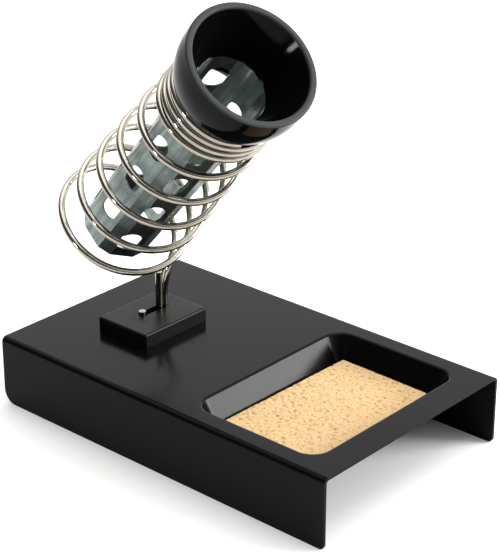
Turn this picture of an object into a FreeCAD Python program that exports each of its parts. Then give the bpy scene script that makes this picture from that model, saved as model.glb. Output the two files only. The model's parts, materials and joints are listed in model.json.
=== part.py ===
import FreeCAD, Part
import math
import os

os.makedirs("parts", exist_ok=True)

V = FreeCAD.Vector

# Soldering iron stand: a folded steel channel with a drawn sponge recess, and a sprung wire holder
# that plugs into a plastic block. +Z is up, +X runs towards the sponge end, and the origin is on the
# bench under the middle of the base. All sizes are in millimetres.

# ---------------------------------------------------------------- driving sizes
# base channel
base_length = 145.0
base_width = 90.0
base_height = 25.0
sheet = 1.0                     # steel sheet
bend_radius = 1.0               # inside of the long bends
flange_corners = (5.0, 1.8)     # rounded lower corners of the flanges, at the plain and sponge ends

# drawn recess for the sponge
recess_length = 51.4
recess_width = 74.0
recess_end_margin = 10.4        # from the sponge end of the base
recess_depth = 10.5
recess_slope = 28.0             # of the drawn walls from upright
recess_floor_corner = 1.4       # the corners are cones that widen upwards from this
recess_rim = 1.2                # rolled-over rim
recess_floor_radius = 1.8

# sponge
sponge_thickness = 3.2
sponge_corner = 1.6
sponge_lower_edge = 1.4         # its lower edges give way to the sloping walls
sponge_turn = -1.2              # it lies a little askew

# plastic block that takes the foot of the wire holder
block_length = 23.0             # along X
block_width = 30.5              # along Y
block_height = 5.0
block_edge = 0.7
block_end_offset = 32.3         # from the plain end of the base to the middle of the block
block_side_offset = -3.2        # from the middle of the base
boss_length = 6.4               # boss that reaches down through the plate
boss_end_wall = 2.2             # at the two ends of the slot
boss_drop = 6.0                 # below the underside of the plate
boss_floor = 1.5
slot_offset_x = -1.3            # of the slot from the middle of the block

# self-tapping screws that hold the block, with plain washers
screw_diameter = 2.9
screw_length = 5.4              # under the head
screw_tip = 0.9                 # cone at the end
screw_spacing = 16.4
head_diameter = 5.4
head_height = 1.8
head_round = 0.8
drive_width = 0.8               # cross recess
drive_length = 2.8
drive_depth = 1.0
pilot_depth = 4.2
washer_diameter = 6.0
washer_thickness = 0.6

# wire holder
wire_diameter = 2.5
foot_span = 11.0                # between the middles of the leg and of the turned-up tip
foot_bend = 2.4                 # radius to the middle of the wire
leg_offset_y = 7.2              # of the leg from the middle of the block
tip_stand = 1.3                 # of the tip above the block
leg_stand = 4.0                 # upright part of the leg above the block
brace_stand = 13.5              # of the stiffening wire above the block
coil_offset_x = -1.9            # of the coil's datum from the leg
coil_offset_y = -13.2
coil_rise = 39.6                # of the coil's datum above the block
coil_lean = 44.5                # of the coil's axis from upright, towards the sponge end
coil_turn = -11.0               # of that lean about the vertical
coil_start_angle = 52.0         # where the first turn leaves the leg
coil_start_height = -16.1       # along the axis, from the datum
coil_start_radius = 22.6        # all the coil's radii are to the middle of the wire
coil_taper = 0.8                # loss of radius in each open turn
coil_neck_radius = 17.9
open_turns = 4.87
closing_turns = 1.0             # over which the pitch closes up
close_turns = 2.94
open_pitch = 15.8
close_pitch = 3.2
points_per_turn = 8             # of the curve that the wire follows

# heat shield, a rolled and perforated tube with wide and narrow facets by turns
shield_corner_radius = 12.75
shield_wall = 0.5
shield_length = 92.6
shield_facet_pairs = 6
shield_wide_facet = 38.0
shield_first_facet = -82.5
shield_seam = 0.4
hole_width = 6.8                # of the round-ended holes, one column to each wide facet
hole_length = 11.0              # along the tube
hole_pitch = 20.2
hole_low_margin = 10.6          # from the tube's lower end to the middle of the first hole
hole_turn = -6.0                # of each column from the middle of its facet
holes_in_column = 4

# moulded funnel
funnel_neck_length = 9.8
funnel_body_height = 15.4       # from the shoulder to the mouth
funnel_shoulder_cover = 0.25    # radial, of the shoulder beyond the coil's close turns
funnel_flare = 2.3              # radial, from the shoulder out to the rim
funnel_lip_wall = 2.0
funnel_lip_height = 4.6
funnel_lip_round = 0.8
funnel_stop = 0.95              # radial, of the throat in over the end of the tube
funnel_throat_land = 0.8
funnel_seat_drop = 0.6          # of the tube's end below the shoulder

# clearances
rest_gap = 0.3                  # under a piece that lifts off
sponge_end_gap = 0.5            # each end of the sponge on the recess floor
sponge_side_gap = 0.1           # each side of it
shoulder_gap = 0.8              # funnel's shoulder above the coil's last turn
slot_gap = 0.3                  # each side of the wire in its slot
boss_gap = 0.2                  # each side of the boss in the plate
pilot_gap = 0.03                # radial, screw in the block
screw_gap = 0.25                # radial, screw in the plate and in its washer
shield_gap = 0.05               # radial, tube in the funnel
neck_gap = 0.3                  # radial, funnel in the coil's close turns
weld_gap = 0.05                 # stiffening wire to the leg


# ---------------------------------------------------------------- helpers
def export(name, *solids):
    shape = solids[0] if len(solids) == 1 else Part.makeCompound(solids)
    shape.exportStep("parts/%s.step" % name)


def box(length, width, height, centre, bottom):
    """Upright box with its middle at centre (x, y) and its underside at bottom."""
    return Part.makeBox(length, width, height,
                        V(centre[0] - length / 2, centre[1] - width / 2, bottom))


def upright_edges(solid):
    return [e for e in solid.Edges if e.BoundBox.ZLength > e.BoundBox.DiagonalLength * 0.999]


def level_edges(solid, z):
    """Edges that lie in the horizontal plane at z."""
    return [e for e in solid.Edges if max(abs(e.BoundBox.ZMin - z), abs(e.BoundBox.ZMax - z)) < 1e-3]


def rod(radius, height, centre, bottom):
    return Part.makeCylinder(radius, height, V(centre[0], centre[1], bottom))


def trapezoid(half_low, half_high, height, thickness, across):
    """Upright bar about the origin, with sloping ends along one level direction."""
    sideways = V(0, 0, 1).cross(across)
    corners = [across * half_low, across * -half_low,
               across * -half_high + V(0, 0, height), across * half_high + V(0, 0, height)]
    corners = [corner - sideways * (thickness / 2) for corner in corners]
    return Part.Face(Part.makePolygon(corners + corners[:1])).extrude(sideways * thickness)


def pan(length, width, height, centre, bottom, corner, floor_radius):
    """Drawn pan with sloping walls and conical corners. Its sizes are those of its floor."""
    run = height * recess_draft
    parts = [trapezoid(length / 2, length / 2 + run, height, width - 2 * corner, V(1, 0, 0)),
             trapezoid(width / 2, width / 2 + run, height, length - 2 * corner, V(0, 1, 0))]
    parts += [Part.makeCone(corner, corner + run, height,
                            V(sx * (length / 2 - corner), sy * (width / 2 - corner), 0))
              for sx in (-1, 1) for sy in (-1, 1)]
    solid = parts[0].fuse(parts[1:]).removeSplitter()
    solid = solid.makeFillet(floor_radius, level_edges(solid, 0))
    solid.translate(V(centre[0], centre[1], bottom))
    return solid


def slot(width, length, height, centre, bottom):
    """Round-ended slot along Y, length over all."""
    straight = length - width
    ends = [rod(width / 2, height, (centre[0], centre[1] + side * straight / 2), bottom)
            for side in (-1, 1)]
    return box(width, straight, height, centre, bottom).fuse(ends)


def ring_edges(solid, radius, z):
    """Circular edges about the Z axis at one radius and height."""
    return [e for e in level_edges(solid, z)
            if isinstance(e.Curve, Part.Circle) and abs(e.Curve.Radius - radius) < 1e-3]


def smooth(share):
    """Ease from 0 to 1 with no kink at either end."""
    share = min(max(share, 0.0), 1.0)
    return share * share * (3 - 2 * share)


# ---------------------------------------------------------------- places worked out from the sizes
wire_radius = wire_diameter / 2
plate_top = base_height
plate_underside = base_height - sheet
block_top = plate_top + block_height
block_centre = (-base_length / 2 + block_end_offset, block_side_offset)
screw_places = [(block_centre[0] + side * screw_spacing / 2, block_centre[1]) for side in (-1, 1)]

slot_width = wire_diameter + 2 * slot_gap
slot_length = foot_span + slot_width
slot_floor = plate_underside - boss_drop + boss_floor
leg = (block_centre[0] + slot_offset_x, block_centre[1] + leg_offset_y)
slot_centre = (leg[0], leg[1] - foot_span / 2)
boss_width = slot_length + 2 * boss_end_wall

recess_centre = (base_length / 2 - recess_end_margin - recess_length / 2, 0.0)
recess_floor = plate_top - recess_depth
recess_draft = math.tan(math.radians(recess_slope))
floor_length = recess_length - 2 * recess_depth * recess_draft
floor_width = recess_width - 2 * recess_depth * recess_draft
sponge_length = floor_length - 2 * sponge_end_gap
sponge_width = floor_width - 2 * sponge_side_gap

# heights along the coil's axis, from its datum, and radii that follow the coil
coil_top = (coil_start_height + open_pitch * (open_turns + closing_turns / 2)
            + close_pitch * (closing_turns / 2 + close_turns))
funnel_shoulder = coil_top + wire_radius + shoulder_gap
shield_top = funnel_shoulder - funnel_seat_drop
shield_low_end = shield_top - shield_length
funnel_shoulder_radius = coil_neck_radius + wire_radius + funnel_shoulder_cover

# the coil's own frame: Z up its axis, Y to the rear, X on its low side
coil_frame = FreeCAD.Placement(
    V(leg[0] + coil_offset_x, leg[1] + coil_offset_y, block_top + coil_rise),
    FreeCAD.Rotation(V(0, 0, 1), coil_turn).multiply(FreeCAD.Rotation(V(0, 1, 0), coil_lean)))


# ---------------------------------------------------------------- base channel
def make_base_channel():
    outer = box(base_length, base_width, base_height, (0, 0), 0)
    inner = box(base_length, base_width - 2 * sheet, plate_underside, (0, 0), 0)
    along = [e for e in level_edges(outer, base_height) if e.BoundBox.XLength > base_length / 2]
    outer = outer.makeFillet(bend_radius + sheet, along)
    along = [e for e in level_edges(inner, plate_underside) if e.BoundBox.XLength > base_length / 2]
    inner = inner.makeFillet(bend_radius, along)
    channel = outer.cut(inner)
    for side, corner in zip((-1, 1), flange_corners):
        short = [e for e in level_edges(channel, 0)
                 if e.BoundBox.YLength > e.BoundBox.XLength and side * e.BoundBox.XMin > 0]
        channel = channel.makeFillet(corner, short)

    grow = sheet / math.cos(math.radians(recess_slope)) - sheet * recess_draft
    channel = channel.fuse(pan(floor_length + 2 * grow, floor_width + 2 * grow,
                               recess_depth + sheet / 2, recess_centre, recess_floor - sheet,
                               recess_floor_corner + grow, recess_floor_radius + sheet))
    channel = channel.cut(pan(floor_length, floor_width, recess_depth + sheet,
                              recess_centre, recess_floor, recess_floor_corner,
                              recess_floor_radius))
    channel = channel.cut(box(boss_length + 2 * boss_gap, boss_width + 2 * boss_gap, 2 * sheet,
                              slot_centre, plate_underside - sheet / 2))
    for place in screw_places:
        channel = channel.cut(rod(screw_diameter / 2 + screw_gap, 2 * sheet, place,
                                  plate_underside - sheet / 2))
    rim = [e for e in level_edges(channel, plate_top)
           if e.BoundBox.XMin > recess_centre[0] - recess_length / 2 - sheet
           and e.BoundBox.XMax < recess_centre[0] + recess_length / 2 + sheet]
    return channel.makeFillet(recess_rim, rim)


# ---------------------------------------------------------------- sponge
def make_sponge():
    bottom = recess_floor + rest_gap
    sponge = box(sponge_length, sponge_width, sponge_thickness, recess_centre, bottom)
    sponge = sponge.makeFillet(sponge_corner, upright_edges(sponge))
    sponge = sponge.makeFillet(sponge_lower_edge, level_edges(sponge, bottom))
    sponge.rotate(V(recess_centre[0], recess_centre[1], bottom), V(0, 0, 1), sponge_turn)
    return sponge


# ---------------------------------------------------------------- block and its screws
def make_clamp_block():
    block = box(block_length, block_width, block_height, block_centre, plate_top)
    block = block.makeFillet(block_edge, upright_edges(block) + level_edges(block, block_top))
    block = block.fuse(box(boss_length, boss_width, sheet + boss_drop + block_edge,
                           slot_centre, plate_underside - boss_drop))
    block = block.cut(slot(slot_width, slot_length, block_top, slot_centre, slot_floor))
    for place in screw_places:
        block = block.cut(rod(screw_diameter / 2 + pilot_gap, pilot_depth, place, plate_top))
    return block


def make_block_screw(place):
    under_head = plate_underside - washer_thickness
    head = rod(head_diameter / 2, head_height, place, under_head - head_height)
    head = head.makeFillet(head_round, level_edges(head, under_head - head_height))
    shank = rod(screw_diameter / 2, screw_length - screw_tip, place, under_head)
    tip = Part.makeCone(screw_diameter / 2, screw_diameter / 8, screw_tip,
                        V(place[0], place[1], under_head + screw_length - screw_tip))
    screw = head.fuse([shank, tip])
    for length, width in ((drive_length, drive_width), (drive_width, drive_length)):
        screw = screw.cut(box(length, width, drive_depth, place, under_head - head_height))
    return screw


def make_block_washer(place):
    bottom = plate_underside - washer_thickness
    washer = rod(washer_diameter / 2, washer_thickness, place, bottom)
    return washer.cut(rod(screw_diameter / 2 + screw_gap, washer_thickness, place, bottom))


# ---------------------------------------------------------------- wire holder
def coil_point(turns):
    """Middle of the wire, in the coil's own frame, a number of turns up from the leg."""
    opened = min(turns, open_turns)
    closing = min(max(turns - open_turns, 0.0), closing_turns)
    closed = max(turns - open_turns - closing_turns, 0.0)
    height = (coil_start_height + open_pitch * (opened + closing)
              + (close_pitch - open_pitch) * closing ** 2 / (2 * closing_turns)
              + close_pitch * closed)
    radius = coil_start_radius - coil_taper * opened
    radius += (coil_neck_radius - radius) * smooth(closing / closing_turns)
    angle = math.radians(coil_start_angle + 360 * turns)
    return V(radius * math.cos(angle), radius * math.sin(angle), height)


def make_coil_holder():
    """One length of wire: turned-up tip, foot in the slot, leg, open turns and close turns."""
    x, leg_y, tip_y = leg[0], leg[1], leg[1] - foot_span
    low = slot_floor + rest_gap + wire_radius
    bend = foot_bend * math.sqrt(0.5)
    leg_top = V(x, leg_y, block_top + leg_stand)

    total = open_turns + closing_turns + close_turns
    count = int(total * points_per_turn)
    coil = [coil_frame.multVec(coil_point(total * i / count)) for i in range(count + 1)]
    coil_curve = Part.BSplineCurve()
    coil_curve.interpolate(coil)
    start, heading = coil[0], V(*coil_curve.tangent(coil_curve.FirstParameter)[0])
    handle = (start - leg_top).Length / 3
    rise = Part.BezierCurve()
    rise.setPoles([leg_top, leg_top + V(0, 0, handle), start - heading * handle, start])

    edges = [
        Part.makeLine(V(x, tip_y, block_top + tip_stand), V(x, tip_y, low + foot_bend)),
        Part.Arc(V(x, tip_y, low + foot_bend), V(x, tip_y + foot_bend - bend, low + foot_bend - bend),
                 V(x, tip_y + foot_bend, low)).toShape(),
        Part.makeLine(V(x, tip_y + foot_bend, low), V(x, leg_y - foot_bend, low)),
        Part.Arc(V(x, leg_y - foot_bend, low), V(x, leg_y - foot_bend + bend, low + foot_bend - bend),
                 V(x, leg_y, low + foot_bend)).toShape(),
        Part.makeLine(V(x, leg_y, low + foot_bend), leg_top),
        rise.toShape(),
    ]
    marks = [coil_curve.parameter(coil[i]) for i in range(0, count, points_per_turn)]
    marks.append(coil_curve.LastParameter)
    for low_mark, high_mark in zip(marks, marks[1:]):
        turn = coil_curve.copy()
        turn.segment(low_mark, high_mark)
        edges.append(turn.toShape())
    section = Part.Wire(Part.makeCircle(wire_radius, V(x, tip_y, block_top + tip_stand), V(0, 0, 1)))
    return Part.Wire(edges).makePipeShell([section], True, False)


def make_leg_brace():
    """Short upright wire welded to the front of the leg, from just above the foot's bend."""
    place = (leg[0], leg[1] - wire_diameter - weld_gap)
    bottom = slot_floor + rest_gap + wire_radius + foot_bend
    return rod(wire_radius, block_top + brace_stand - bottom, place, bottom)


# ---------------------------------------------------------------- heat shield
def faceted_prism(corner_radius, length, bottom):
    angles = [shield_first_facet + 360 * k / shield_facet_pairs + side * shield_wide_facet / 2
              for k in range(shield_facet_pairs) for side in (-1, 1)]
    corners = [V(corner_radius * math.cos(math.radians(a)), corner_radius * math.sin(math.radians(a)),
                 bottom) for a in angles]
    return Part.Face(Part.makePolygon(corners + corners[:1])).extrude(V(0, 0, length))


def make_heat_shield():
    tube = faceted_prism(shield_corner_radius, shield_length, shield_low_end)
    tube = tube.cut(faceted_prism(shield_corner_radius - shield_wall, shield_length, shield_low_end))
    pair_turn = 360 / shield_facet_pairs
    for column in range(shield_facet_pairs):
        angle = shield_first_facet + hole_turn + column * pair_turn
        first = shield_low_end + hole_low_margin + (hole_pitch / 2 if column % 2 == 0 else 0)
        for row in range(holes_in_column):
            hole = slot(hole_width, hole_length, 2 * shield_corner_radius, (0, 0), 0)
            hole.rotate(V(), V(1, 0, 0), 90)
            hole.rotate(V(), V(0, 0, 1), angle + 90)
            hole.translate(V(0, 0, first + row * hole_pitch))
            tube = tube.cut(hole)
    seam = Part.makeBox(2 * shield_corner_radius, shield_seam, shield_length,
                        V(0, -shield_seam / 2, shield_low_end))
    seam.rotate(V(), V(0, 0, 1), shield_first_facet - 1.5 * pair_turn)
    tube = tube.cut(seam)
    tube.Placement = coil_frame
    return tube


# ---------------------------------------------------------------- funnel
def make_funnel():
    neck_low = funnel_shoulder - funnel_neck_length
    neck_radius = coil_neck_radius - wire_radius - neck_gap
    mouth = funnel_shoulder + funnel_body_height
    lip_low = mouth - funnel_lip_height
    rim_radius = funnel_shoulder_radius + funnel_flare
    mouth_radius = rim_radius - funnel_lip_wall
    seat_radius = shield_corner_radius + shield_gap
    throat_radius = shield_corner_radius - funnel_stop
    # the body swells from its shoulder and runs smoothly into the upright side of the lip
    climb = lip_low - funnel_shoulder
    swell = (funnel_flare ** 2 + climb ** 2) / (2 * funnel_flare)
    half_turn = math.asin(climb / swell) / 2
    body = Part.Arc(V(funnel_shoulder_radius, 0, funnel_shoulder),
                    V(rim_radius - swell + swell * math.cos(half_turn), 0,
                      lip_low - swell * math.sin(half_turn)),
                    V(rim_radius, 0, lip_low)).toShape()
    outline = [(rim_radius, lip_low), (rim_radius, mouth), (mouth_radius, mouth),
               (throat_radius, shield_top + funnel_throat_land), (throat_radius, shield_top),
               (seat_radius, shield_top), (seat_radius, neck_low), (neck_radius, neck_low),
               (neck_radius, funnel_shoulder), (funnel_shoulder_radius, funnel_shoulder)]
    rest = Part.makePolygon([V(radius, 0, height) for radius, height in outline])
    funnel = Part.Face(Part.Wire([body] + rest.Edges)).revolve(V(), V(0, 0, 1), 360)
    lip = [edge for radius in (rim_radius, mouth_radius) for edge in ring_edges(funnel, radius, mouth)]
    funnel = funnel.makeFillet(funnel_lip_round, lip)
    funnel.Placement = coil_frame
    return funnel


export("base_channel", make_base_channel())
export("sponge", make_sponge())
export("clamp_block", make_clamp_block())
export("block_screws", *[make_block_screw(place) for place in screw_places])
export("block_washers", *[make_block_washer(place) for place in screw_places])
export("coil_holder", make_coil_holder())
export("leg_brace", make_leg_brace())
export("heat_shield", make_heat_shield())
export("funnel", make_funnel())
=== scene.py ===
# %% [markdown]
# # A soldering iron stand
# The object is a bench stand: a folded steel channel with a drawn recess for a damp sponge, and a
# leaning holder wound from one length of plated wire. A perforated sheet tube inside the coil keeps
# hands off the hot barrel, and a moulded funnel guides the iron in. The engineering model gives every
# hard piece its true shape, so this lesson spends its effort on finishes, on the one soft piece, and
# on light.

import json
import math
import random

import bmesh
import bpy
import numpy as np
from mathutils import Matrix, Vector, noise


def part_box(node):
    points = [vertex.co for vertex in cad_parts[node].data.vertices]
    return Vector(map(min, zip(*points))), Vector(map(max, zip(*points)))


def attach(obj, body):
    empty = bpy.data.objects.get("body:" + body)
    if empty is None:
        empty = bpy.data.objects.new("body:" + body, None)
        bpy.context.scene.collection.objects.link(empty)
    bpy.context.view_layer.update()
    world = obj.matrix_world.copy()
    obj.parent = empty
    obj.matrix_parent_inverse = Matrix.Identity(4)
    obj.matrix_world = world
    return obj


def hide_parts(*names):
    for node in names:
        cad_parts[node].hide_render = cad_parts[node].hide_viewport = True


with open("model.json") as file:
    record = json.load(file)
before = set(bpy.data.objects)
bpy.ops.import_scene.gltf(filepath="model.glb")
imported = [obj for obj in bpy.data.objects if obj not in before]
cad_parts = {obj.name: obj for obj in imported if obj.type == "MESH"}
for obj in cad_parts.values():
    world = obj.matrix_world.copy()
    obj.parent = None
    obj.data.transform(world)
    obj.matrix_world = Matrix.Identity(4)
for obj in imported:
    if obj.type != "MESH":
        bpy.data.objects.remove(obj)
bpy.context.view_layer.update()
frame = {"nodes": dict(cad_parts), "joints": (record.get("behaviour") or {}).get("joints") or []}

MM = 0.001

# %% [markdown]
# Colours are easiest to choose as sRGB hex values, the numbers that a paint chart or a screen gives.
# The renderer mixes light in linear values, so one function converts them.

# %% Colour and node helpers
def linear(hex_colour):
    """sRGB hex such as "#f0d9a0" to linear RGBA."""
    parts = [int(hex_colour[i:i + 2], 16) / 255 for i in (1, 3, 5)]
    return tuple(p / 12.92 if p <= 0.04045 else ((p + 0.055) / 1.055) ** 2.4 for p in parts) + (1.0,)


def add(tree, kind, settings=None, links=None):
    """Adds a node. A setting is an attribute or an input, and a link runs from an output to an input."""
    made = tree.nodes.new("ShaderNode" + kind)
    for name, value in (settings or {}).items():
        if isinstance(name, str) and hasattr(made, name):
            setattr(made, name, value)
        else:
            made.inputs[name].default_value = value
    for name, source in (links or {}).items():
        tree.links.new(source, made.inputs[name])
    return made


def new_finish(name):
    """An empty material with its shader: gives the material, its tree, the shader and coordinates."""
    print("finish:", name)
    finish = bpy.data.materials.new(name)
    finish.use_nodes = True
    tree = finish.node_tree
    tree.nodes.clear()
    shader = add(tree, "BsdfPrincipled")
    add(tree, "OutputMaterial", links={"Surface": shader.outputs["BSDF"]})
    place = add(tree, "TexCoord").outputs["Object"]
    return finish, tree, shader, place


def per_mm(size_mm):
    """Texture scale that repeats about once in a real size, as coordinates are in metres."""
    return 1.0 / (size_mm * MM)


# %% [markdown]
# The holder's axis leans, and several finishes follow it: the funnel's lip and the rolled tube. The
# joint that draws the funnel out of the coil runs along that axis, so its direction is read from
# there, and the mouth's height along it is measured from the funnel's own vertices.

# %% Measure the holder's axis
pull = next(joint for joint in frame["joints"] if joint["name"] == "funnel_pull")
axis = Vector(pull["axis"]).normalized()
along = [v.co.dot(axis) for v in frame["nodes"]["funnel"].data.vertices]
mouth = max(along)
print("lean from upright:", round(math.degrees(axis.angle(Vector((0, 0, 1)))), 1), "degrees")
print("funnel length in mm:", round(1000 * (mouth - min(along)), 1))


def along_axis(tree, place):
    """Distance below the funnel's mouth, in metres, as a node output."""
    dot = add(tree, "VectorMath", {"operation": "DOT_PRODUCT", 1: tuple(axis)}, {0: place})
    return add(tree, "Math", {"operation": "SUBTRACT", 0: mouth}, {1: dot.outputs["Value"]}).outputs[0]


# %% [markdown]
# **Stoved black paint.** The channel is bent from mild steel sheet about a millimetre thick, then
# sprayed and oven-cured. Cured paint is a smooth dielectric with IOR about 1.5. It isn't a mirror:
# the film dries with a slight orange peel a millimetre or two across, and handling leaves faint
# hazy patches and fine rub marks. A noise bump gives the peel, and two more noises vary the gloss. The
# specular level is set far below the 0.5 of real paint: over a white floor the true value would grey
# the black, so this is a choice made for the picture, and the room behind is made brighter to match.

# %% Satin black paint of the base
def stoved_black_paint():
    finish, tree, shader, place = new_finish("stoved_black_paint")
    haze = add(tree, "TexNoise", {"Scale": per_mm(38), "Detail": 4.0, "Roughness": 0.6},
               {"Vector": place})
    rubs = add(tree, "TexNoise", {"Scale": per_mm(2.6), "Detail": 6.0, "Roughness": 0.7},
               {"Vector": place})
    gloss = add(tree, "MapRange", {"From Min": 0.3, "From Max": 0.7, "To Min": 0.13, "To Max": 0.21},
                {"Value": haze.outputs["Fac"]})
    speckle = add(tree, "MapRange", {"From Min": 0.35, "From Max": 0.7, "To Min": -0.01, "To Max": 0.04},
                  {"Value": rubs.outputs["Fac"]})
    rough = add(tree, "Math", {"operation": "ADD"},
                {0: gloss.outputs["Result"], 1: speckle.outputs["Result"]})
    tone = add(tree, "MixRGB", {"Color1": linear("#040404"), "Color2": linear("#090909")},
               {"Fac": haze.outputs["Fac"]})
    peel = add(tree, "TexNoise", {"Scale": per_mm(1.7), "Detail": 2.0}, {"Vector": place})
    bump = add(tree, "Bump", {"Strength": 0.15, "Distance": 0.02 * MM},
               {"Height": peel.outputs["Fac"]})
    tree.links.new(tone.outputs["Color"], shader.inputs["Base Color"])
    tree.links.new(rough.outputs[0], shader.inputs["Roughness"])
    tree.links.new(bump.outputs["Normal"], shader.inputs["Normal"])
    shader.inputs["IOR"].default_value = 1.5
    shader.inputs["Specular IOR Level"].default_value = 0.07
    return finish


# %% [markdown]
# **Moulded block plastic.** The block that holds the wire's foot is a plain black moulding. Its tool
# was spark-eroded, which leaves a fine even grain on the plastic and a soft broad highlight. As on
# the paint, the specular level is set below a real plastic's 0.5, to keep the black deep.

# %% Fine-grained black moulding
def eroded_black_moulding():
    finish, tree, shader, place = new_finish("eroded_black_moulding")
    grain = add(tree, "TexNoise", {"Scale": per_mm(0.35), "Detail": 3.0}, {"Vector": place})
    flow = add(tree, "TexNoise", {"Scale": per_mm(9), "Detail": 3.0}, {"Vector": place})
    rough = add(tree, "MapRange", {"From Min": 0.3, "From Max": 0.7, "To Min": 0.30, "To Max": 0.40},
                {"Value": flow.outputs["Fac"]})
    bump = add(tree, "Bump", {"Strength": 0.35, "Distance": 0.03 * MM},
               {"Height": grain.outputs["Fac"]})
    tone = add(tree, "MixRGB", {"Color1": linear("#060606"), "Color2": linear("#0b0b0b")},
               {"Fac": flow.outputs["Fac"]})
    tree.links.new(tone.outputs["Color"], shader.inputs["Base Color"])
    tree.links.new(rough.outputs["Result"], shader.inputs["Roughness"])
    tree.links.new(bump.outputs["Normal"], shader.inputs["Normal"])
    shader.inputs["IOR"].default_value = 1.53
    shader.inputs["Specular IOR Level"].default_value = 0.1
    return finish


# %% [markdown]
# **Nickel-plated spring wire.** Bright nickel is a slightly warm mirror. Drawing the wire leaves it
# faintly uneven, and coiling it rubs the plate, so the reflection breaks up a little and there are
# duller patches. A metal keeps the default IOR: its colour comes from the base colour alone. The
# colour is a greyed nickel, because in a white room a brighter one would lose its dark bands.

# %% Bright nickel on drawn wire
def nickel_plated_wire():
    finish, tree, shader, place = new_finish("nickel_plated_wire")
    patches = add(tree, "TexNoise", {"Scale": per_mm(7), "Detail": 5.0, "Roughness": 0.65},
                  {"Vector": place})
    draw_marks = add(tree, "TexNoise", {"Scale": per_mm(0.5), "Detail": 3.0}, {"Vector": place})
    rough = add(tree, "MapRange", {"From Min": 0.35, "From Max": 0.75, "To Min": 0.05, "To Max": 0.15},
                {"Value": patches.outputs["Fac"]})
    tone = add(tree, "MixRGB", {"Color1": linear("#b0aba1"), "Color2": linear("#827c72")},
               {"Fac": patches.outputs["Fac"]})
    bump = add(tree, "Bump", {"Strength": 0.12, "Distance": 0.02 * MM},
               {"Height": draw_marks.outputs["Fac"]})
    tree.links.new(tone.outputs["Color"], shader.inputs["Base Color"])
    tree.links.new(rough.outputs["Result"], shader.inputs["Roughness"])
    tree.links.new(bump.outputs["Normal"], shader.inputs["Normal"])
    shader.inputs["Metallic"].default_value = 1.0
    return finish


# %% [markdown]
# **Galvanised sheet.** Zinc freezes on the steel in flat crystals, the spangle, here a few
# millimetres across. Each crystal has its own tilt, so each has its own tone and gloss. A Voronoi
# texture gives one random value to each cell. Rolling the sheet into a tube smears the spangle and
# draws faint streaks along it, so a second noise is stretched along the tube's axis.

# %% Zinc spangle of the heat shield
def galvanised_sheet():
    finish, tree, shader, place = new_finish("galvanised_sheet")
    wander = add(tree, "TexNoise", {"Scale": per_mm(2.2), "Detail": 2.0}, {"Vector": place})
    shifted = add(tree, "VectorMath", {"operation": "MULTIPLY_ADD", 1: (1.6 * MM,) * 3},
                  {0: wander.outputs["Color"], 2: place})
    spangle = add(tree, "TexVoronoi", {"Scale": per_mm(2.6)}, {"Vector": shifted.outputs[0]})
    crystal = add(tree, "SeparateColor", links={"Color": spangle.outputs["Color"]})
    axial = add(tree, "VectorMath", {"operation": "PROJECT", 1: tuple(axis)}, {0: place})
    drawn = add(tree, "VectorMath", {"operation": "MULTIPLY_ADD", 1: (-0.93,) * 3},
                {0: axial.outputs[0], 2: place})
    streaks = add(tree, "TexNoise", {"Scale": per_mm(1.8), "Detail": 5.0, "Roughness": 0.6},
                  {"Vector": drawn.outputs[0]})
    zinc = add(tree, "MixRGB", {"Color1": linear("#727c79"), "Color2": linear("#7e8885")},
               {"Fac": crystal.outputs["Red"]})
    dull = add(tree, "MapRange", {"From Min": 0.40, "From Max": 0.68}, {"Value": streaks.outputs["Fac"]})
    tone = add(tree, "MixRGB", {"Color2": linear("#5a635f")},
               {"Fac": dull.outputs["Result"], "Color1": zinc.outputs["Color"]})
    rough = add(tree, "MapRange", {"To Min": 0.24, "To Max": 0.31}, {"Value": crystal.outputs["Green"]})
    rougher = add(tree, "Math", {"operation": "MULTIPLY_ADD", 1: 0.12},
                  {0: dull.outputs["Result"], 2: rough.outputs["Result"]})
    bump = add(tree, "Bump", {"Strength": 0.2, "Distance": 0.02 * MM},
               {"Height": streaks.outputs["Fac"]})
    tree.links.new(tone.outputs["Color"], shader.inputs["Base Color"])
    tree.links.new(rougher.outputs[0], shader.inputs["Roughness"])
    tree.links.new(bump.outputs["Normal"], shader.inputs["Normal"])
    shader.inputs["Metallic"].default_value = 1.0
    return finish


# %% [markdown]
# **Zinc-plated fasteners.** The screws and washers under the plate are bright zinc with a faint blue
# tint and fine machining lines too small to draw, so an even fine noise stands for them.

# %% Bright zinc on the screws and washers
def zinc_plated_steel():
    finish, tree, shader, place = new_finish("zinc_plated_steel")
    lines = add(tree, "TexNoise", {"Scale": per_mm(0.4), "Detail": 4.0}, {"Vector": place})
    rough = add(tree, "MapRange", {"From Min": 0.3, "From Max": 0.7, "To Min": 0.22, "To Max": 0.42},
                {"Value": lines.outputs["Fac"]})
    tone = add(tree, "MixRGB", {"Color1": linear("#b7bfc6"), "Color2": linear("#d3d6d8")},
               {"Fac": lines.outputs["Fac"]})
    tree.links.new(tone.outputs["Color"], shader.inputs["Base Color"])
    tree.links.new(rough.outputs["Result"], shader.inputs["Roughness"])
    shader.inputs["Metallic"].default_value = 1.0
    return finish
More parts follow.
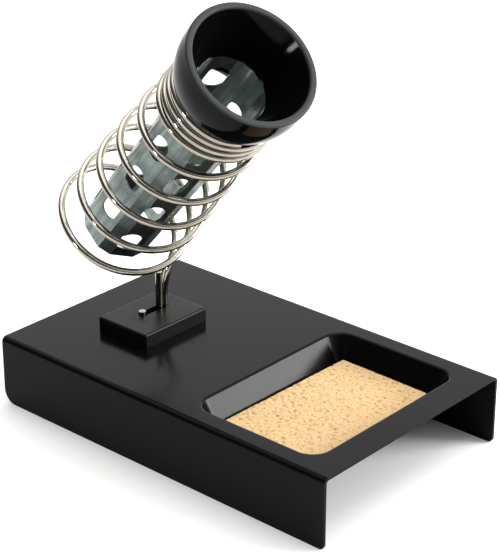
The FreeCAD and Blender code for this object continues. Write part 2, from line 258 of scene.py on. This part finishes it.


# %% [markdown]
# ** Phenolic funnel.** The funnel is a compression-moulded phenolic, chosen because heat doesn't
# soften it. The tool was polished, so the body is glossy and near black. The front face of the lip is
# painted a lighter grey and made satin, a band at one distance along the funnel's axis, so the finish
# reads that distance. The specular level is low, as on the paint.

# %% Polished phenolic with a lighter satin lip band
def black_phenolic():
    finish, tree, shader, place = new_finish("black_phenolic")
    below = along_axis(tree, place)
    lip_band = add(tree, "MapRange", {"From Min": 0.9 * MM, "From Max": 0.1 * MM}, {"Value": below})
    flow = add(tree, "TexNoise", {"Scale": per_mm(14), "Detail": 4.0, "Roughness": 0.6},
               {"Vector": place})
    lip_marks = add(tree, "TexNoise", {"Scale": per_mm(0.8), "Detail": 4.0}, {"Vector": place})
    polish = add(tree, "MapRange", {"From Min": 0.3, "From Max": 0.75, "To Min": 0.06, "To Max": 0.11},
                 {"Value": flow.outputs["Fac"]})
    rough = add(tree, "Mix", {"data_type": "FLOAT", 3: 0.5},
                {0: lip_band.outputs["Result"], 2: polish.outputs["Result"]})
    # the lip band is painted a lighter grey than the body
    tone = add(tree, "MixRGB", {"Color1": linear("#060607"), "Color2": linear("#3b3c3d")},
               {"Fac": lip_band.outputs["Result"]})
    height = add(tree, "Math", {"operation": "MULTIPLY"},
                 {0: lip_marks.outputs["Fac"], 1: lip_band.outputs["Result"]})
    bump = add(tree, "Bump", {"Strength": 0.3, "Distance": 0.03 * MM}, {"Height": height.outputs[0]})
    tree.links.new(tone.outputs["Color"], shader.inputs["Base Color"])
    tree.links.new(rough.outputs[0], shader.inputs["Roughness"])
    tree.links.new(bump.outputs["Normal"], shader.inputs["Normal"])
    shader.inputs["IOR"].default_value = 1.6
    shader.inputs["Specular IOR Level"].default_value = 0.05
    return finish


# %% Paint the hard pieces
finishes = {
    "base_channel": stoved_black_paint(),
    "clamp_block": eroded_black_moulding(),
    "block_screws": zinc_plated_steel(),
    "coil_holder": nickel_plated_wire(),
    "heat_shield": galvanised_sheet(),
    "funnel": black_phenolic(),
}
finishes["block_washers"] = finishes["block_screws"]
finishes["leg_brace"] = finishes["coil_holder"]
for name, finish in finishes.items():
    mesh = frame["nodes"][name].data
    if not mesh.materials:
        mesh.materials.append(finish)
    for i in range(len(mesh.materials)):
        mesh.materials[i] = finish
    print(name, "->", finish.name, len(mesh.polygons), "faces")

# %% [markdown]
# **Cellulose sponge.** The sponge is regenerated cellulose: a stiff open foam, cut from a block by a
# wire, so its top is flat but full of cut pores. Most are under a millimetre and a few are about two
# across. A displaced texture alone would look printed, so the pad is a real mesh: a fine
# rounded slab whose larger pores are pressed in, each with a soft edge. The finish adds the pores
# that are finer than the mesh.

# %% Sponge size from its engineering solid
low, high = (Vector(corner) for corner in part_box("sponge"))
middle, reach = (low + high) / 2, (high - low) / 2
TURN = math.radians(-1.2)       # it lies a little askew in the recess
EDGE = 0.8 * MM                 # softened edge of a cut sponge
UNDERCUT = 0.8 * MM             # its lower edges are pressed in by the sloping walls
STEP = 0.5 * MM                 # mesh spacing

# half sizes of a turned slab, from the upright box around it
cosine, sine = math.cos(TURN), abs(math.sin(TURN))
spread = cosine * cosine - sine * sine
half = Vector(((reach.x * cosine - reach.y * sine) / spread,
               (reach.y * cosine - reach.x * sine) / spread, reach.z))
print("sponge in mm:", [round(2000 * h, 1) for h in half])


# %% Rounded slab on a fine grid
def sponge_slab():
    """Closed grid over the slab's six sides, about the origin, its edges eased to a small radius."""
    cells = [max(2, round(2 * h / STEP)) for h in half]
    mesh = bmesh.new()
    known = {}

    def corner(index):
        if index not in known:
            point = Vector([(2 * i / n - 1) * h for i, n, h in zip(index, cells, half)])
            inner = Vector([min(max(c, EDGE - h), h - EDGE) for c, h in zip(point, half)])
            out = point - inner
            if out.length > 1e-9:
                point = inner + out.normalized() * EDGE
            depth = 0.5 - 0.5 * point.z / half.z
            for k in (0, 1):
                point[k] *= 1 - UNDERCUT * depth ** 2 / half[k]
            known[index] = mesh.verts.new(point)
        return known[index]

    for flat in range(3):
        a, b = [k for k in range(3) if k != flat]
        for end in (0, cells[flat]):
            for i in range(cells[a]):
                for j in range(cells[b]):
                    quad = []
                    for di, dj in ((0, 0), (1, 0), (1, 1), (0, 1)):
                        index = [0, 0, 0]
                        index[flat], index[a], index[b] = end, i + di, j + dj
                        quad.append(corner(tuple(index)))
                    mesh.faces.new(quad)
    bmesh.ops.recalc_face_normals(mesh, faces=mesh.faces)
    data = bpy.data.meshes.new("cellulose_sponge")
    mesh.to_mesh(data)
    mesh.free()
    return data


slab = sponge_slab()
print("sponge mesh:", len(slab.vertices), "points")

# %% [markdown]
# The pores go in with arrays: each pore is a shallow bowl, and a point keeps the deepest bowl that
# reaches it. The sizes are skewed so that small pores are common and big ones rare. The whole top
# also undulates by a tenth of a millimetre, because cut foam springs back unevenly.

# %% Press in the pores
PORE_COUNT = 900
SMALL_PORE = 0.30 * MM          # radii
PORE_SPREAD = 0.75 * MM
PORE_SKEW = 3.2                 # a higher power makes big pores rarer
CUT_BY_EDGE = 0.3               # share of pores that the edges cut open
SINK = 0.06 * MM                # keeps the foam inside its engineering box
HIGHEST_BUMP = 0.04 * MM


def press_pores(data, seed=7):
    pick = random.Random(seed)
    points = np.empty(len(data.vertices) * 3)
    data.vertices.foreach_get("co", points)
    points = points.reshape(-1, 3)
    normals = np.array([v.normal for v in data.vertices])
    depth = np.zeros(len(points))
    for _ in range(PORE_COUNT):
        radius = SMALL_PORE + PORE_SPREAD * pick.random() ** PORE_SKEW
        centre = np.array([half[0] * pick.uniform(-1, 1), half[1] * pick.uniform(-1, 1), half[2]])
        if pick.random() < CUT_BY_EDGE:
            side = pick.randrange(2)
            centre[side] = half[side] * pick.choice((-1, 1))
            centre[2] = half[2] * pick.uniform(-1, 1)
        stretch = pick.uniform(0.7, 1.4)
        offset = (points - centre) * [stretch, 1 / stretch, 1.0]
        near = np.linalg.norm(offset, axis=1) / radius
        bowl = np.clip(1 - near, 0, 1)
        depth = np.maximum(depth, radius * 0.75 * bowl * bowl * (3 - 2 * bowl))
    ripple = np.array([noise.noise(Vector(p) * per_mm(5.5)) * 0.10
                       + noise.noise(Vector(p) * per_mm(1.3)) * 0.05 for p in points]) * MM
    ripple = np.minimum(ripple, HIGHEST_BUMP)
    moved = points + normals * (ripple - depth - SINK)[:, None]
    data.vertices.foreach_set("co", moved.ravel())
    data.polygons.foreach_set("use_smooth", [True] * len(data.polygons))
    data.update()
    return depth


pressed = press_pores(slab)
slab.transform(Matrix.Translation(middle) @ Matrix.Rotation(TURN, 4, "Z"))
print("deepest pore in mm:", round(1000 * pressed.max(), 2))


# %% [markdown]
# The sponge's colour is a pale straw yellow with tan flecks where pores hold shade and dust. Two
# noises make the flecks: one places them, the other breaks their edges. Cellulose scatters a little
# light under its surface, and its gloss is almost nil.

# %% Cellulose finish
def cellulose_foam():
    finish, tree, shader, place = new_finish("cellulose_foam")
    pores = add(tree, "TexNoise", {"Scale": per_mm(1.2), "Detail": 5.0, "Roughness": 0.65},
                {"Vector": place})
    cloud = add(tree, "TexNoise", {"Scale": per_mm(9), "Detail": 3.0}, {"Vector": place})
    cells = add(tree, "TexVoronoi", {"Scale": per_mm(0.9)}, {"Vector": place})
    flecks = add(tree, "MapRange", {"From Min": 0.52, "From Max": 0.67}, {"Value": pores.outputs["Fac"]})
    ground = add(tree, "MixRGB", {"Color1": linear("#cfb387"), "Color2": linear("#c7a674")},
                 {"Fac": cloud.outputs["Fac"]})
    tone = add(tree, "MixRGB", {"Color2": linear("#a1682f")},
               {"Fac": flecks.outputs["Result"], "Color1": ground.outputs["Color"]})
    walls = add(tree, "Math", {"operation": "MULTIPLY_ADD", 1: 0.6},
                {0: cells.outputs["Distance"], 2: pores.outputs["Fac"]})
    bump = add(tree, "Bump", {"Strength": 0.6, "Distance": 0.25 * MM, "invert": True},
               {"Height": walls.outputs[0]})
    tree.links.new(tone.outputs["Color"], shader.inputs["Base Color"])
    tree.links.new(bump.outputs["Normal"], shader.inputs["Normal"])
    shader.inputs["Roughness"].default_value = 0.95
    shader.inputs["Subsurface Weight"].default_value = 0.12
    shader.inputs["Subsurface Radius"].default_value = (1.2 * MM, 0.8 * MM, 0.4 * MM)
    shader.inputs["Subsurface Scale"].default_value = 1.0
    return finish


# %% Place the sponge
sponge = bpy.data.objects.new("cellulose_sponge", slab)
bpy.context.collection.objects.link(sponge)
slab.materials.append(cellulose_foam())
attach(sponge, "sponge_body")
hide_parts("sponge")
print(sponge.name, "rides on sponge_body, turned by", round(math.degrees(TURN), 1), "degrees")

# %% [markdown]
# **Floor and light.** A stand like this is shown on a plain white sweep under large soft lights. The
# black paint has almost no colour of its own: what it shows is what it mirrors. So the room itself
# matters: it is bright behind, where the plate mirrors it, and dim in front. A big overhead panel
# lights the floor, a window-like panel at the right shows in the recess's wall and rakes the sponge,
# and a small lamp puts a crisp highlight in the funnel. The Standard view transform keeps the white
# of the floor and the near black of the paint apart.

# %% Pale floor
FLOOR_SIZE = 6.0


def matt_white_board():
    finish, tree, shader, place = new_finish("matt_white_board")
    mottle = add(tree, "TexNoise", {"Scale": per_mm(120), "Detail": 2.0}, {"Vector": place})
    tone = add(tree, "MixRGB", {"Color1": linear("#f4f4f3"), "Color2": linear("#f8f8f7")},
               {"Fac": mottle.outputs["Fac"]})
    tree.links.new(tone.outputs["Color"], shader.inputs["Base Color"])
    shader.inputs["Roughness"].default_value = 0.9
    return finish


bpy.ops.mesh.primitive_plane_add(size=FLOOR_SIZE, location=(0, 0, 0))
floor = bpy.context.object
floor.name = "floor"
floor.data.materials.append(matt_white_board())
print("floor:", FLOOR_SIZE, "m square")

# %% Soft lights
def panel(name, place, aim, width, height, power):
    light = bpy.data.lights.new(name, "AREA")
    light.shape = "RECTANGLE"
    light.size, light.size_y, light.energy = width, height, power
    lamp = bpy.data.objects.new(name, light)
    lamp.location = place
    lamp.rotation_euler = (Vector(aim) - Vector(place)).to_track_quat("-Z", "Y").to_euler()
    bpy.context.collection.objects.link(lamp)
    print(name, round(power / (width * height), 1), "watts per square metre")


panel("overhead_panel", (0.0, 0.1, 1.3), aim=(0, 0, 0.05), width=1.4, height=1.4, power=10)
panel("window_panel", (0.80, 0.76, 0.32), aim=(0.02, 0, 0.02), width=0.55, height=0.42, power=19)
panel("small_lamp", (-0.16, -1.17, 0.257), aim=(0.02, 0, 0.135), width=0.13, height=0.13, power=2.4)

# %% Room that is bright behind and dim in front
DIM_FRONT, BRIGHT_BACK = 0.12, 1.65
BRIGHT_SIDE = (0.0, 0.8, 0.6)   # towards the rear and up
world = bpy.data.worlds.new("studio_room")
world.use_nodes = True
room = world.node_tree
facing = add(room, "TexCoord").outputs["Generated"]
toward_back = add(room, "VectorMath", {"operation": "DOT_PRODUCT", 1: BRIGHT_SIDE}, {0: facing})
glow = add(room, "MapRange", {"interpolation_type": "SMOOTHSTEP", "From Min": -0.15, "From Max": 0.55,
                              "To Min": DIM_FRONT, "To Max": BRIGHT_BACK},
           {"Value": toward_back.outputs["Value"]})
room.nodes["Background"].inputs["Color"].default_value = linear("#ffffff")
room.links.new(glow.outputs["Result"], room.nodes["Background"].inputs["Strength"])
bpy.context.scene.world = world
bpy.context.scene.view_settings.view_transform = "Standard"
print("room brightness: front", DIM_FRONT, "back", BRIGHT_BACK)

# %% [markdown]
# **Camera.** A long lens from a little above suits a small product: it keeps the base's long edges
# nearly parallel. The place and direction are in the object's own frame, in metres.

# %% Long-lens camera
lens = bpy.data.cameras.new("bench_camera")
lens.sensor_fit = "HORIZONTAL"
lens.sensor_width = 36.0
lens.lens = 133.1
lens.clip_start, lens.clip_end = 0.05, 20.0
camera = bpy.data.objects.new("bench_camera", lens)
camera.location = (0.3736, -0.4164, 0.3088)
camera.rotation_euler = Vector((-0.6058, 0.6798, -0.4134)).to_track_quat("-Z", "Y").to_euler()
bpy.context.collection.objects.link(camera)
bpy.context.scene.camera = camera
print("camera distance in mm:", round(1000 * camera.location.length))
